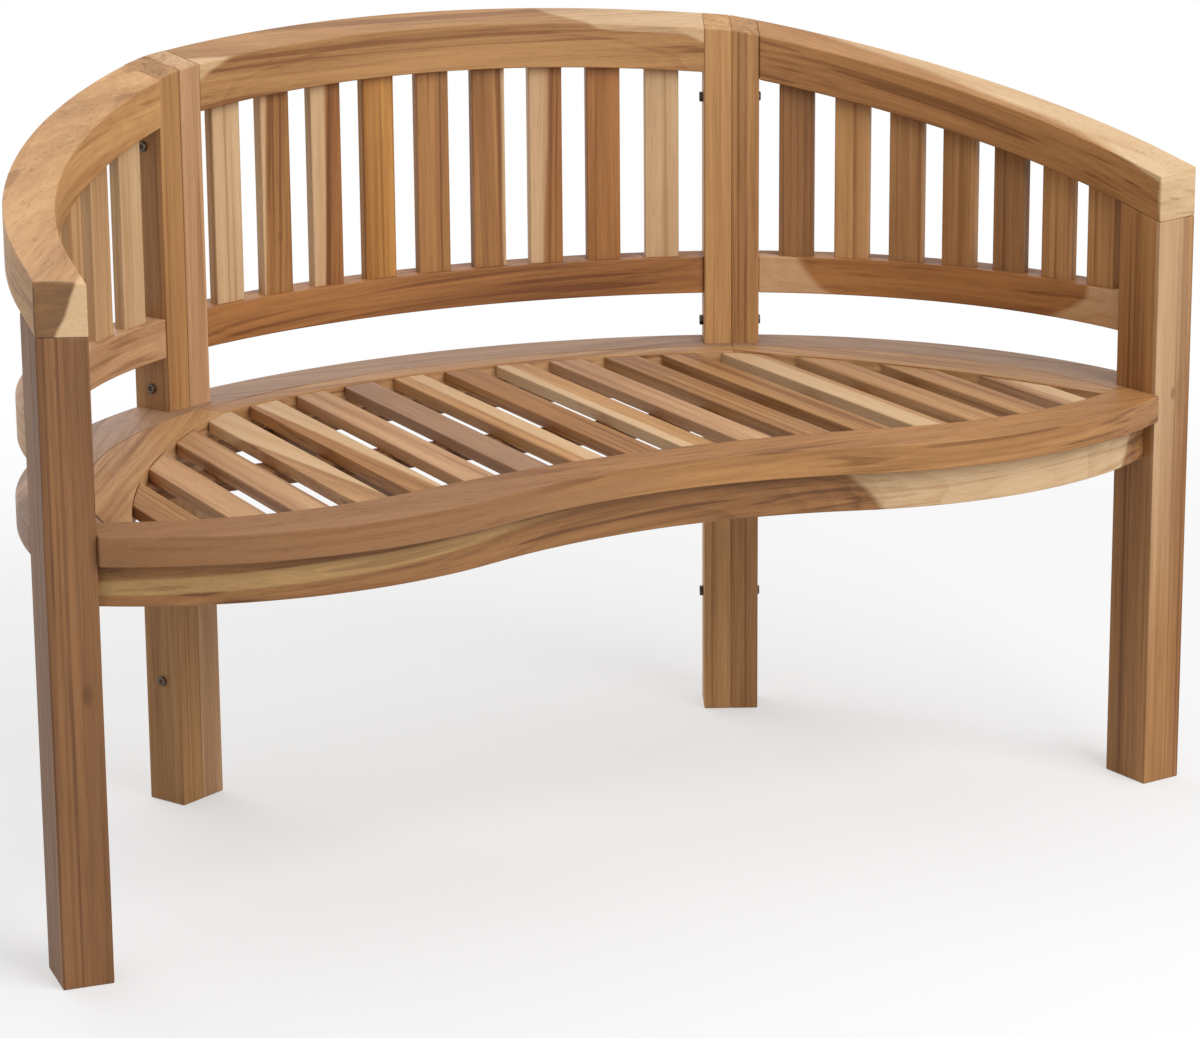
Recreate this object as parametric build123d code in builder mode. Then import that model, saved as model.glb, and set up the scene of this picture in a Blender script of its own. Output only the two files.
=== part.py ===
from build123d import *
import os
from math import asin, atan2, cos, degrees, radians, sin, sqrt

os.makedirs("parts", exist_ok=True)

# Curved garden bench in solid hardwood, in millimetres, with +Z up.
# The origin is on the ground under the middle of the bench, and the sitter faces -Y.
# A back panel and two arm panels, all curved in plan, are bolted together at two split rear posts.

# Plan of the back and the arms, on the line of the front faces of the posts
back_radius = 702
post_turn = 26  # degrees from the middle of the back to the split in a rear post
arm_radius = 472
arm_start = 29  # degrees, where the arm curve leaves the rear post
arm_sweep = 55  # degrees, from the rear post to the front leg

# Uprights
half_post_width = 29
post_depth = 46
leg_width = 46
leg_depth = 58

# Top rails of the back and the arms
back_height = 770
back_drop = 15  # fall of the back's crown from the middle to the split post
arm_drop = 115  # fall of the arm from the split post to the front of the leg
top_rail_height = 57.5  # at the rear face
top_fall = 11  # fall of the tops of the rails and posts towards the front
nose_height = 46  # of the arm's front end, at its inner face
nose_fall = 6  # inward fall of the arm's top at its front end
nose_lift = 3  # outward rise of the arm's underside at its front end
arm_stations = 5  # spans between the sections that shape an arm
back_stations = 6

# Lower rails under the upright slats
lower_rail_bottom = 463
lower_rail_height = 39
lower_rail_setback = 4
lower_rail_depth = 38

# Seat level
seat_top = 409
seat_board = 27
seat_lap = 15  # strip of a seat rail that passes in front of the posts
seam_gap = 1  # shadow line between the seat's border and the seat rails
ledger_lap = 32
ledger_depth = 33
ledger_height = 22

# Seat border, measured forwards from the inner front corner of a front leg
waist_reach = 12
bulge_reach = 70
end_reach = 6
bulge_place = 330  # sideways from the middle of the bench
inner_bulge_place = 350
waist_width = 52
bulge_width = 66
end_width = 55
back_border_lap = 42  # from the posts' front line to the seat opening
arm_border_lap = 68
leg_border_lap = 45

# Apron under the front border
apron_setback = 18
apron_thickness = 24
apron_height = 40

# Slats
seat_slat_count = 17
end_slat_inset = 79.4  # from the widest reach of the seat opening to the middle of the last slat
seat_slat_width = 35
seat_slat_thickness = 12
seat_slat_drop = 1.5  # tops of the slats below the border
seat_tenon_width = 25
seat_tenon_thickness = 6
seat_tenon_length = 12
back_slat_count = 9
back_slat_width = 36
arm_slat_count = 7
arm_slat_width = 37
slat_thickness = 12
slat_setback = 12
slat_housing = 14  # depth of a slat's end in its rail

# Bearers under the seat
bearer_place = 206.5  # sideways from the middle of the bench
bearer_width = 28
bearer_height = 28
bearer_tenon = 12
batten_width = 40
batten_place = 30  # in front of the middle of the bench's depth
batten_housing = 10

# Joints
tenon_length = 18
tenon_thickness = 14
tenon_shoulder = 6
apron_tenon_height = 14
stub_tenon_height = 24
stub_tenon_width = 18
stub_tenon_depth = 30
joint_gap = 0.2  # play around tenons, slat ends and curved shoulders

# Bolts through the split posts, with heads on the arm side and nuts on the back side
foot_bolt_height = 128
seat_bolt_rise = 21  # above the seat
top_bolt_drop = 26.5  # below the top rails
bolt_radius = 3
bolt_head_radius = 5
bolt_head_height = 3
nut_width = 10  # across the flats
nut_height = 4
socket_width = 4
socket_depth = 2

# Screws and dowels under the seat
back_screw_shares = (-0.5, 0.5)  # of the turn from the middle of the back to a post
arm_screw_share = 0.5  # of the arm's sweep
screw_radius = 2
screw_head_radius = 4
screw_length = 36
dowel_radius = 5
dowel_length = 33
dowel_depth = 18  # length of a dowel in the apron

# Heights that follow
seat_bottom = seat_top - seat_board
ledger_bottom = seat_bottom - ledger_height
apron_bottom = seat_bottom - apron_height
lower_rail_top = lower_rail_bottom + lower_rail_height
slat_top = seat_top - seat_slat_drop
slat_bottom = slat_top - seat_slat_thickness
post_underside = back_height - back_drop - top_rail_height
front_height = top_rail_height - top_fall
bolt_heights = (foot_bolt_height, seat_top + seat_bolt_rise, post_underside - top_bolt_drop)
reach = 4 * back_radius  # longer than anything it cuts
notch_depth = 2 * post_depth  # a notch for a post runs out behind the rail


def heading(angle, length=1.0):
    # Plan vector at an angle from straight back, turning towards the right arm
    return Vector(length * sin(radians(angle)), length * cos(radians(angle)), 0)


def up(height):
    return Vector(0, 0, height)


def flip(vector):
    # The same point or direction on the left of the bench
    return Vector(-vector.X, vector.Y, vector.Z)


# Plan points and directions on the right of the bench
arm_end = arm_start + arm_sweep
leg_out = heading(arm_end)
leg_back = heading(arm_end - 90)
post_back = heading(post_turn)
post_side = heading(post_turn + 90)
split_offset = heading(post_turn, back_radius)
arm_offset = split_offset - heading(arm_start, arm_radius)
leg_offset = arm_offset + heading(arm_end, arm_radius) - leg_back * leg_depth
front_line = leg_offset.Y - bulge_reach
back_line = back_radius + post_depth
back_centre = Vector(0, -(front_line + back_line) / 2, 0)
split_point = back_centre + split_offset
arm_centre = back_centre + arm_offset
leg_corner = back_centre + leg_offset
leg_back_corner = leg_corner + leg_back * leg_depth

# Planes of the uprights, each with its own X across the width and its Y towards the back
back_post_corner = split_point - post_side * half_post_width
arm_post_corner = split_point + post_side * half_post_width
post_plane = Plane(origin=split_point, x_dir=post_side, z_dir=(0, 0, 1))
back_post_plane = Plane(origin=back_post_corner, x_dir=post_side, z_dir=(0, 0, 1))
left_back_post_plane = Plane(origin=flip(split_point), x_dir=-flip(post_side), z_dir=(0, 0, 1))
leg_plane = Plane(origin=leg_corner, x_dir=leg_out, z_dir=(0, 0, 1))

# Faces that the rails meet, pointing into the upright, with their Y axes upwards
mid_depth = post_back * (post_depth / 2)
split_plane = Plane(origin=split_point, x_dir=post_back, z_dir=post_side)
back_face = Plane(origin=back_post_corner + mid_depth, x_dir=post_back, z_dir=post_side)
arm_face = Plane(origin=arm_post_corner + mid_depth, x_dir=-post_back, z_dir=-post_side)
leg_face = Plane(origin=leg_back_corner + leg_out * (post_depth / 2), x_dir=leg_out, z_dir=-leg_back)
leg_inner_face = Plane(origin=leg_corner, x_dir=leg_back, z_dir=leg_out)

# Side view of the arm, along the chord from the split post to the front leg
arm_chord = leg_corner - split_point
arm_length = arm_chord.length
arm_along = arm_chord.normalized()
arm_slope = arm_drop / arm_length
leg_fall = leg_back * (arm_slope * arm_along.dot(leg_back)) - leg_out * (nose_lift / post_depth)

# Arc of the back's crown in the front view
crown_radius = (split_point.X**2 + back_drop**2) / (2 * back_drop)


def both(plane):
    # The plane and its twin on the left of the bench, which keeps its Y axis upwards
    twin = Plane(origin=flip(plane.origin), x_dir=-flip(plane.x_dir), z_dir=flip(plane.z_dir))
    return plane, twin


def distance_along(start, direction, centre, radius):
    # How far a line runs from its start, inside a circle, before it leaves the circle
    offset = start - centre
    along = offset.dot(direction)
    return -along + sqrt(along**2 + radius**2 - offset.dot(offset))


def arm_underside(point):
    # Height of the arm's underside over a plan point
    return post_underside - arm_slope * (point - split_point).dot(arm_along)


def back_underside(point):
    # Height of the back's underside over a plan point
    return back_height - top_rail_height - crown_radius + sqrt(crown_radius**2 - point.X**2)


def leg_top(point):
    # Height of the leg's top over a plan point
    return arm_underside(leg_corner) - leg_fall.dot(point - leg_corner)


# Falls of the tops of the two halves of a split post, sideways with their rails and towards the front
front_fall = post_back * (top_fall / post_depth)
arm_post_fall = post_side * (arm_slope * arm_along.dot(post_side)) - front_fall
crown_slope = (back_underside(back_post_corner) - back_underside(split_point)) / half_post_width
back_post_fall = post_side * crown_slope - front_fall


def write(piece, name):
    piece.label = name
    export_step(piece, f"parts/{name}.step")


def write_pair(piece, name):
    # The right piece and its mirror image on the left
    write(piece, name + "_right")
    with BuildPart() as left:
        mirror(piece, about=Plane.YZ)
    write(left.part, name + "_left")


def upright(plane, width, depth, mode=Mode.ADD):
    # Square-sawn upright as tall as the bench, or the room that it takes
    with BuildSketch(plane) as section:
        Rectangle(width, depth, align=Align.MIN)
    extrude(section.sketch, amount=back_height, mode=mode)


def ring(centre, inner, outer, bottom, height):
    # Curved board around a centre in plan
    with BuildSketch(Plane.XY.offset(bottom)) as section:
        with Locations(centre):
            Circle(outer)
            Circle(inner, mode=Mode.SUBTRACT)
    extrude(section.sketch, amount=height)


def under_slope(spot, height, fall):
    # Keep what is below a sloping plane, at a height over a plan point and with its fall along the ground
    direction = fall.normalized()
    drop = fall.length * reach
    view = Plane(origin=spot, x_dir=direction, z_dir=direction.cross(up(1)))
    high = (-reach, height + drop)
    low = (reach, height - drop)
    with BuildSketch(view) as section:
        with BuildLine():
            Polyline(high, (-reach, -reach), (reach, -reach), low, close=True)
        make_face()
    extrude(section.sketch, amount=reach, both=True, mode=Mode.INTERSECT)


def tenon(face, height_at, height, thickness=tenon_thickness):
    # Tongue that runs from a rail's shoulder into an upright
    with BuildSketch(face) as section:
        with Locations((0, height_at)):
            Rectangle(thickness, height)
    extrude(section.sketch, amount=tenon_length)


def mortise(face, height_at, height, thickness=tenon_thickness):
    # Room for a tenon, with the joint's play all round
    with BuildSketch(face) as section:
        with Locations((0, height_at)):
            Rectangle(thickness + 2 * joint_gap, height + 2 * joint_gap)
    extrude(section.sketch, amount=tenon_length + joint_gap, mode=Mode.SUBTRACT)


def shouldered(height):
    return height - 2 * tenon_shoulder


# Middle heights and tenon heights of the rails that end at an upright
lower_joint = (lower_rail_bottom + lower_rail_height / 2, shouldered(lower_rail_height))
seat_joint = (seat_bottom + seat_board / 2, shouldered(seat_board))
ledger_joint = (ledger_bottom + ledger_height / 2, shouldered(ledger_height))
back_joint = (back_underside(back_face.origin) + top_rail_height / 2, shouldered(top_rail_height) / 2)
arm_joint = (arm_underside(arm_face.origin) + top_rail_height / 2, shouldered(top_rail_height) / 2)
post_joints = (lower_joint, seat_joint, ledger_joint)


def seat_edge(waist, bulge, end):
    # Wavy edge of three tangent arcs: a hollow waist between two bulges that end at the legs
    run = end - bulge
    bulge_radius = (run.X**2 + run.Y**2) / (2 * run.Y)
    dip = waist - bulge.Y
    both_radii = (bulge.X**2 + dip**2) / (2 * dip)
    waist_radius = both_radii - bulge_radius
    waist_centre = Vector(0, waist - waist_radius, 0)
    bulge_centre = bulge + Vector(0, bulge_radius, 0)
    return waist_centre, waist_radius, bulge_centre, bulge_radius, end.X


waist_line = leg_corner.Y - waist_reach
bulge_line = leg_corner.Y - bulge_reach
front_edge = seat_edge(
    waist_line,
    Vector(bulge_place, bulge_line, 0),
    leg_corner - leg_back * end_reach,
)
inner_edge = seat_edge(
    waist_line + waist_width,
    Vector(inner_bulge_place, bulge_line + bulge_width, 0),
    leg_corner + leg_back * (end_width - end_reach),
)
edge_overrun = 8  # length that an edge runs on past the leg's inner face, before it is trimmed


def behind(edge, setback=0):
    # Everything behind a wavy edge, drawn a little behind it or in front of it
    waist_centre, waist_radius, bulge_centre, bulge_radius, end_place = edge
    end_radius = bulge_radius - setback
    end_turn = degrees(asin((end_place + edge_overrun - bulge_centre.X) / end_radius))
    waist = waist_centre + Vector(0, waist_radius + setback, 0)
    meet = waist_centre + (bulge_centre - waist_centre).normalized() * (waist_radius + setback)
    peak = bulge_centre - Vector(0, end_radius, 0)
    end = bulge_centre - heading(-end_turn, end_radius)
    with BuildLine() as outline:
        ThreePointArc(flip(end), flip(peak), flip(meet))
        ThreePointArc(flip(meet), waist, meet)
        ThreePointArc(meet, peak, end)
        Polyline(end, (reach, end.Y), (reach, reach), (-reach, reach), (-reach, end.Y), flip(end))
    make_face(outline.line)


# Side curve of the seat opening, from the rear post's corner to the front leg
side_line = ThreePointArc(
    back_centre + heading(post_turn, back_radius - back_border_lap),
    arm_centre + heading(arm_start + arm_sweep / 2, arm_radius - arm_border_lap),
    arm_centre + heading(arm_end, arm_radius - leg_border_lap),
)


def opening(grow):
    # Plan of the opening inside the seat's border, grown on all sides
    with BuildSketch() as region:
        behind(inner_edge, -grow)
        with Locations(back_centre):
            Circle(back_radius - back_border_lap + grow, mode=Mode.INTERSECT)
        for centre in (side_line.arc_center, flip(side_line.arc_center)):
            with Locations(centre):
                Circle(side_line.radius + grow, mode=Mode.INTERSECT)
    return region.sketch


def bearer_room(grow):
    # Plan of the room between the apron and the back ledger, grown on all sides
    with BuildSketch() as region:
        behind(front_edge, apron_setback + apron_thickness - grow)
        with Locations(back_centre):
            Circle(back_radius - ledger_lap + grow, mode=Mode.INTERSECT)
    return region.sketch


seat_opening = opening(0)
slat_shoulders = opening(-joint_gap)
slat_ends = opening(seat_tenon_length)
slat_mortises = opening(seat_tenon_length + joint_gap)
batten_ends = opening(batten_housing)
batten_mortises = opening(batten_housing + joint_gap)
bearer_shoulders = bearer_room(-joint_gap)
bearer_ends = bearer_room(bearer_tenon)
bearer_mortises = bearer_room(bearer_tenon + joint_gap)


def cut_boards(places, width, room, bottom, height, mode=Mode.ADD):
    # Straight boards from front to back at places across the bench, with ends cut to a plan
    with BuildSketch(Plane.XY.offset(bottom)) as section:
        with Locations(*[(place, 0) for place in places]):
            Rectangle(width, reach)
        add(room, mode=Mode.INTERSECT)
    extrude(section.sketch, amount=height, mode=mode)


def batten(width, room, height, mode=Mode.ADD):
    # Straight board across the bench under the slats, with ends cut to a plan
    with BuildSketch(Plane.XY.offset(seat_bottom)) as section:
        with Locations((0, -batten_place)):
            Rectangle(reach, width)
        add(room, mode=Mode.INTERSECT)
    extrude(section.sketch, amount=height, mode=mode)


last_slat = side_line.arc_center.X + side_line.radius - end_slat_inset
slat_places = [last_slat * (2 * number / (seat_slat_count - 1) - 1) for number in range(seat_slat_count)]
bearer_places = (-bearer_place, bearer_place)
slat_tenon_bottom = slat_bottom + (seat_slat_thickness - seat_tenon_thickness) / 2
bearer_tenon_bottom = ledger_joint[0] - ledger_joint[1] / 2
batten_height = slat_bottom - seat_bottom


def slat_planes(centre, radius, first, last, count, width):
    # Planes of upright slats with equal gaps between two angles, each across its slat
    step = ((last - first) + degrees(width / radius)) / (count + 1)
    middle = (first + last) / 2
    turns = [middle + step * (number - (count - 1) / 2) for number in range(count)]
    spots = [(centre + heading(turn, radius), heading(turn + 90)) for turn in turns]
    return [Plane(origin=spot, x_dir=across, z_dir=(0, 0, 1)) for spot, across in spots]


back_slat_radius = back_radius + slat_setback + slat_thickness / 2
arm_slat_radius = arm_radius + slat_setback + slat_thickness / 2
back_slat_turn = post_turn - degrees(asin(half_post_width / back_slat_radius))
arm_face_run = distance_along(arm_face.origin, post_back, arm_centre, arm_slat_radius)
arm_face_spot = arm_face.origin + post_back * arm_face_run - arm_centre
arm_slat_turn = degrees(atan2(arm_face_spot.X, arm_face_spot.Y))
back_slats = slat_planes(
    back_centre, back_slat_radius, -back_slat_turn, back_slat_turn, back_slat_count, back_slat_width
)
arm_slats = slat_planes(arm_centre, arm_slat_radius, arm_slat_turn, arm_end, arm_slat_count, arm_slat_width)


def upright_slat(plane, width, top):
    # Flat slat that stands in the lower rail and ends inside the top rail
    bottom = lower_rail_top - slat_housing
    with BuildSketch(plane.offset(bottom)) as section:
        Rectangle(width, slat_thickness)
    extrude(section.sketch, amount=top - bottom)


def slat_pocket(plane, width, height, depth):
    # Housing for a slat's end, cut from a height upwards or downwards
    with BuildSketch(plane.offset(height)) as section:
        Rectangle(width + 2 * joint_gap, slat_thickness + 2 * joint_gap)
    extrude(section.sketch, amount=depth, mode=Mode.SUBTRACT)


def housings(planes, width, underside):
    # Housings along a top rail, deeper than the slats by the joint's play
    for plane in planes:
        slat_pocket(plane, width, underside(plane.origin) + slat_housing + joint_gap, -top_rail_height)


def lower_housings(planes, width):
    # Housings along a lower rail, with floors that the slats stand on
    for plane in planes:
        slat_pocket(plane, width, lower_rail_top - slat_housing, lower_rail_height)


def rail_section(spot, turn, underside, front, fall, lift):
    # Upright cross-section of a top rail, from its front face to its rear face
    plane = Plane(origin=spot + up(underside), x_dir=heading(turn), z_dir=heading(turn + 90))
    with BuildSketch(plane) as section:
        with BuildLine():
            Polyline((0, 0), (post_depth, lift), (post_depth, front + fall), (0, front), close=True)
        make_face()
    return section.sketch


def back_section(share):
    # Cross-section of the back's top rail, at a share of the way from its middle to a split post
    turn = post_turn * share
    spot = back_centre + heading(turn, back_radius)
    return rail_section(spot, turn, back_underside(spot), front_height, top_fall, 0)


def arm_section(spot, turn, share):
    # Cross-section of the arm's top rail, which changes on the way from the post to the front end
    front = front_height + (nose_height - front_height) * share
    fall = top_fall + (nose_fall - top_fall) * share
    return rail_section(spot, turn, arm_underside(spot), front, fall, nose_lift * share)


def curved_section(share):
    # Cross-section on a radius of the arm's curve, at a share of the way from the post to the leg
    turn = arm_start + arm_sweep * share
    return arm_section(arm_centre + heading(turn, arm_radius), turn, share)


def bolt_axis(height):
    # Line of a bolt through both halves of a post, from the split towards the arm
    return Plane(origin=split_point + mid_depth + up(height), x_dir=post_back, z_dir=post_side)


def drill(plane, radius, start, end, mode=Mode.SUBTRACT):
    # Round hole or rod along a plane's Z axis
    with BuildSketch(plane.offset(start)) as section:
        Circle(radius)
    extrude(section.sketch, amount=end - start, mode=mode)


def hexagon(plane, width, start, end, mode=Mode.ADD):
    # Six-sided nut or socket along a plane's Z axis
    with BuildSketch(plane.offset(start)) as section:
        RegularPolygon(width / 2, 6, major_radius=False)
    extrude(section.sketch, amount=end - start, mode=mode)


# Front legs, with a stub tenon up into the arm and mortises for the apron and the arm's rails
apron_middle = apron_setback + apron_thickness / 2
apron_run = distance_along(leg_corner, -leg_back, front_edge[2], front_edge[3] - apron_middle)
apron_face = Plane(origin=leg_corner - leg_back * apron_run, x_dir=leg_back, z_dir=leg_out)
apron_joint = (apron_bottom + tenon_shoulder + apron_tenon_height / 2, apron_tenon_height)
stub_spot = leg_corner + leg_out * (leg_width / 2) + leg_back * (leg_depth / 2)
stub_plane = Plane(origin=stub_spot, x_dir=leg_out, z_dir=(0, 0, 1))
stub_top = leg_top(stub_spot) + stub_tenon_height

with BuildPart() as front_leg:
    upright(leg_plane, leg_width, leg_depth)
    under_slope(leg_corner, leg_top(leg_corner), leg_fall)
    with BuildSketch(stub_plane.offset(lower_rail_top)):
        Rectangle(stub_tenon_width, stub_tenon_depth)
    extrude(amount=stub_top - lower_rail_top)
    mortise(apron_face, *apron_joint)
    for joint in post_joints:
        mortise(leg_face, *joint)
write_pair(front_leg.part, "front_leg")

# Halves of the split rear posts
with BuildPart() as arm_post:
    upright(post_plane, half_post_width, post_depth)
    under_slope(split_point, post_underside + front_height, arm_post_fall)
    for joint in post_joints + (arm_joint,):
        mortise(arm_face, *joint)
    for height in bolt_heights:
        drill(bolt_axis(height), bolt_radius + joint_gap, 0, half_post_width)
write_pair(arm_post.part, "arm_rear_post")

with BuildPart() as back_post:
    upright(back_post_plane, half_post_width, post_depth)
    under_slope(split_point, post_underside + front_height, back_post_fall)
    for joint in post_joints + (back_joint,):
        mortise(back_face, *joint)
    for height in bolt_heights:
        drill(bolt_axis(height), bolt_radius + joint_gap, 0, -half_post_width)
write_pair(back_post.part, "back_post")

# Crowned top rail of the back
with BuildPart() as back_top_rail:
    loft([back_section(station / back_stations) for station in range(-back_stations, back_stations + 1)])
    for face in both(back_face):
        split(bisect_by=face, keep=Keep.BOTTOM)
    for face in both(back_face):
        tenon(face, *back_joint)
    housings(back_slats, back_slat_width, back_underside)
write(back_top_rail.part, "back_top_rail")

# Top rail of an arm: it falls from the rear post, twisting a little, and runs out over the front leg
with BuildPart() as arm_top_rail:
    loft([arm_section(leg_corner, arm_end, 1), curved_section(1)], ruled=True)
    loft([curved_section(station / arm_stations) for station in range(arm_stations + 1)])
    split(bisect_by=arm_face, keep=Keep.BOTTOM)
    tenon(arm_face, *arm_joint)
    housings(arm_slats, arm_slat_width, arm_underside)
    with BuildSketch(stub_plane.offset(stub_top + joint_gap)):
        Rectangle(stub_tenon_width + 2 * joint_gap, stub_tenon_depth + 2 * joint_gap)
    extrude(amount=-top_rail_height, mode=Mode.SUBTRACT)
write_pair(arm_top_rail.part, "arm_top_rail")

# Lower rails, set back a little from the faces of the posts
lower_rail_back = lower_rail_setback + lower_rail_depth

with BuildPart() as back_lower_rail:
    ring(
        back_centre,
        back_radius + lower_rail_setback,
        back_radius + lower_rail_back,
        lower_rail_bottom,
        lower_rail_height,
    )
    for face in both(back_face):
        split(bisect_by=face, keep=Keep.BOTTOM)
    for face in both(back_face):
        tenon(face, *lower_joint)
    lower_housings(back_slats, back_slat_width)
write(back_lower_rail.part, "back_lower_rail")

with BuildPart() as arm_lower_rail:
    ring(
        arm_centre,
        arm_radius + lower_rail_setback,
        arm_radius + lower_rail_back,
        lower_rail_bottom,
        lower_rail_height,
    )
    for face in (arm_face, leg_face):
        split(bisect_by=face, keep=Keep.BOTTOM)
    for face in (arm_face, leg_face):
        tenon(face, *lower_joint)
    lower_housings(arm_slats, arm_slat_width)
write_pair(arm_lower_rail.part, "arm_lower_rail")

# Upright slats
for number, plane in enumerate(back_slats, start=1):
    with BuildPart() as back_slat:
        upright_slat(plane, back_slat_width, back_underside(plane.origin) + slat_housing)
    write(back_slat.part, f"back_slat_{number}")

with BuildPart() as arm_slat_set:
    for plane in arm_slats:
        upright_slat(plane, arm_slat_width, arm_underside(plane.origin) + slat_housing)
write_pair(arm_slat_set.part, "arm_slats")

# Screws up through the ledgers into the seat's border, midway across their overlap
screw_inset = (ledger_lap + seat_lap) / 2
back_screw_turns = [post_turn * share for share in back_screw_shares]
back_screw_spots = [back_centre + heading(turn, back_radius - screw_inset) for turn in back_screw_turns]
arm_screw_spot = arm_centre + heading(arm_start + arm_sweep * arm_screw_share, arm_radius - screw_inset)


def screw(spot, gap=0, mode=Mode.ADD):
    # Countersunk screw with its head flush with the underside of a ledger, or the hole for it
    head = screw_head_radius + gap
    shank = screw_radius + gap
    cone = screw_head_radius - screw_radius
    tip = screw_length + gap
    base = Plane(origin=spot + up(ledger_bottom), x_dir=(1, 0, 0), z_dir=(0, -1, 0))
    with BuildSketch(base) as section:
        with BuildLine():
            Polyline((0, 0), (head, 0), (shank, cone), (shank, tip), (0, tip), close=True)
        make_face()
    revolve(section.sketch, axis=Axis(base.origin, (0, 0, 1)), mode=mode)


def screw_hole(spot):
    screw(spot, joint_gap, Mode.SUBTRACT)


# Seat rails and the ledgers under them, notched around the uprights
with BuildPart() as back_seat_rail:
    ring(back_centre, back_radius - seat_lap, back_radius + post_depth, seat_bottom, seat_board)
    for plane in both(split_plane):
        split(bisect_by=plane, keep=Keep.BOTTOM)
    for plane in (back_post_plane, left_back_post_plane):
        upright(plane, half_post_width, notch_depth, Mode.SUBTRACT)
    for face in both(back_face):
        tenon(face, *seat_joint)
write(back_seat_rail.part, "back_seat_rail")

with BuildPart() as arm_seat_rail:
    ring(arm_centre, arm_radius - seat_lap, arm_radius + post_depth, seat_bottom, seat_board)
    split(bisect_by=split_plane, keep=Keep.TOP)
    with BuildSketch(Plane.XY.offset(seat_bottom)):
        behind(inner_edge, joint_gap)
    extrude(amount=seat_board, mode=Mode.INTERSECT)
    upright(post_plane, half_post_width, notch_depth, Mode.SUBTRACT)
    upright(leg_plane, leg_width, leg_depth, Mode.SUBTRACT)
    for face in (arm_face, leg_face):
        tenon(face, *seat_joint)
write_pair(arm_seat_rail.part, "arm_seat_rail")

with BuildPart() as back_ledger:
    ring(back_centre, back_radius - ledger_lap, back_radius + ledger_depth, ledger_bottom, ledger_height)
    for plane in both(split_plane):
        split(bisect_by=plane, keep=Keep.BOTTOM)
    for plane in (back_post_plane, left_back_post_plane):
        upright(plane, half_post_width, notch_depth, Mode.SUBTRACT)
    for face in both(back_face):
        tenon(face, *ledger_joint)
    cut_boards(
        bearer_places,
        bearer_tenon + 2 * joint_gap,
        bearer_mortises,
        bearer_tenon_bottom - joint_gap,
        ledger_joint[1] + 2 * joint_gap,
        Mode.SUBTRACT,
    )
    for spot in back_screw_spots:
        screw_hole(spot)
write(back_ledger.part, "back_ledger")

with BuildPart() as arm_ledger:
    ring(arm_centre, arm_radius - ledger_lap, arm_radius + ledger_depth, ledger_bottom, ledger_height)
    split(bisect_by=split_plane, keep=Keep.TOP)
    split(bisect_by=leg_face, keep=Keep.BOTTOM)
    upright(post_plane, half_post_width, notch_depth, Mode.SUBTRACT)
    for face in (arm_face, leg_face):
        tenon(face, *ledger_joint)
    screw_hole(arm_screw_spot)
write_pair(arm_ledger.part, "arm_ledger")

# Dowels between the apron and the front border, at the waist and the two bulges
dowel_setback = Vector(0, apron_middle, 0)
bulge_spot = Vector(bulge_place, bulge_line, 0) + dowel_setback
dowel_spots = (Vector(0, waist_line, 0) + dowel_setback, bulge_spot, flip(bulge_spot))
dowel_bottom = seat_bottom - dowel_depth


def dowels(gap=0, mode=Mode.ADD):
    for spot in dowel_spots:
        axis = Plane(origin=spot, z_dir=(0, 0, 1))
        drill(axis, dowel_radius + gap, dowel_bottom, dowel_bottom + dowel_length + gap, mode)


# Front apron, which follows the wavy edge between the legs
with BuildPart() as front_apron:
    with BuildSketch(Plane.XY.offset(apron_bottom)):
        behind(front_edge, apron_setback)
    extrude(amount=apron_height)
    with BuildSketch(Plane.XY.offset(apron_bottom)):
        behind(front_edge, apron_setback + apron_thickness)
    extrude(amount=apron_height, mode=Mode.SUBTRACT)
    for face in both(leg_inner_face):
        split(bisect_by=face, keep=Keep.BOTTOM)
    for face in both(apron_face):
        tenon(face, *apron_joint)
    cut_boards(
        bearer_places,
        bearer_tenon + 2 * joint_gap,
        bearer_mortises,
        bearer_tenon_bottom - joint_gap,
        ledger_joint[1] + 2 * joint_gap,
        Mode.SUBTRACT,
    )
    dowels(joint_gap, Mode.SUBTRACT)
write(front_apron.part, "front_apron")


def slat_mortise_cuts():
    # Mortises for the tenons of the seat slats
    cut_boards(
        slat_places,
        seat_tenon_width + 2 * joint_gap,
        slat_mortises,
        slat_tenon_bottom - joint_gap,
        seat_tenon_thickness + 2 * joint_gap,
        Mode.SUBTRACT,
    )


# Border of the seat, in four boards
with BuildPart() as seat_front_border:
    with BuildSketch(Plane.XY.offset(seat_bottom)):
        behind(front_edge)
    extrude(amount=seat_board)
    with BuildSketch(Plane.XY.offset(seat_bottom)):
        behind(inner_edge)
    extrude(amount=seat_board, mode=Mode.SUBTRACT)
    for face in both(leg_inner_face):
        split(bisect_by=face, keep=Keep.BOTTOM)
    slat_mortise_cuts()
    dowels(joint_gap, Mode.SUBTRACT)
write(seat_front_border.part, "seat_front_border")

with BuildPart() as seat_back_border:
    with BuildSketch(Plane.XY.offset(seat_bottom)):
        behind(inner_edge)
        with Locations(back_centre):
            Circle(back_radius - seat_lap - seam_gap, mode=Mode.INTERSECT)
        add(seat_opening, mode=Mode.SUBTRACT)
    extrude(amount=seat_board)
    for plane in both(split_plane):
        split(bisect_by=plane, keep=Keep.BOTTOM)
    slat_mortise_cuts()
    for spot in back_screw_spots:
        screw_hole(spot)
write(seat_back_border.part, "seat_back_border")

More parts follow.
